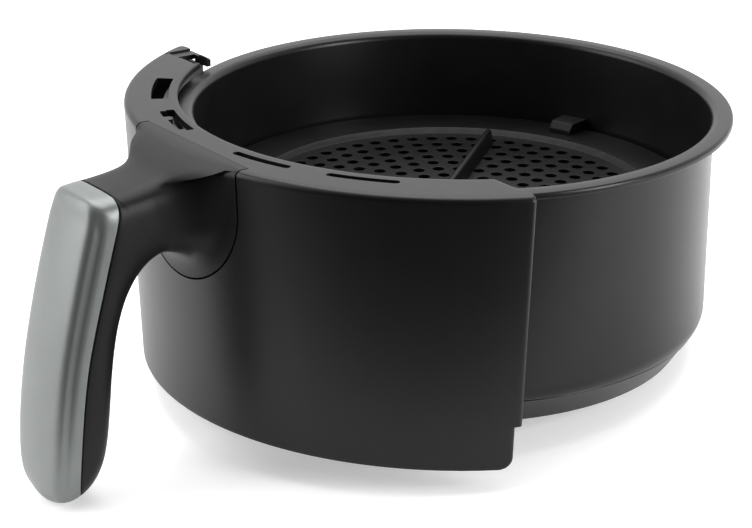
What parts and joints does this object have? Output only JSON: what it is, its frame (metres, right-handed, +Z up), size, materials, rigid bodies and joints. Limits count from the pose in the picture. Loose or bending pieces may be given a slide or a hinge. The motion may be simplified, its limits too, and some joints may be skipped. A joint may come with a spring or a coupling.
{
  "type": "air fryer drawer",
  "caption": "Air fryer drawer: round non-stick pan with a wrap-round front cover, a carrying handle and a lift-out perforated crisper plate.",
  "frame": {"origin": "centre of the pan's foot, on the plane that the pan stands on", "axes": "+Z up along the pan's axis; the handle points towards -Y, so the drawer slides into the fryer along +Y; +X is to the right seen from the handle"},
  "size_m": [0.2556, 0.3286, 0.1367],
  "materials": {
    "pan_coating": "satin non-stick",
    "bracket_steel": "zinc plated",
    "rivet_steel": "plain",
    "screw_steel": "blackened",
    "cover_plastic": "fine satin grain",
    "liner_plastic": "matte",
    "handle_black": "fine satin grain",
    "handle_grey": "satin paint",
    "plate_coating": "satin non-stick",
    "bumper_silicone": "matte silicone"
  },
  "bodies": {
    "drawer": {"pan": "pan_coating", "pan_bracket": "bracket_steel", "bracket_rivets": "rivet_steel", "front_cover": "cover_plastic", "cover_liner": "liner_plastic", "liner_screws": "screw_steel", "bracket_screws": "screw_steel", "handle_body": "handle_black", "handle_shell": "handle_grey", "handle_screws": "screw_steel", "root_plate": "bracket_steel", "root_screws": "screw_steel", "root_washers": "rivet_steel"},
    "plate": {"crisper_plate": "plate_coating", "lifting_rib": "plate_coating", "rib_rivets": "rivet_steel", "bumper_1": "bumper_silicone", "bumper_2": "bumper_silicone", "bumper_3": "bumper_silicone"}
  },
  "joints": [
    {"name": "plate_lift", "type": "slide", "parent": "drawer", "child": "plate", "axis": [0, 0, 1], "range_m": [0, 0.08]}
  ]
}
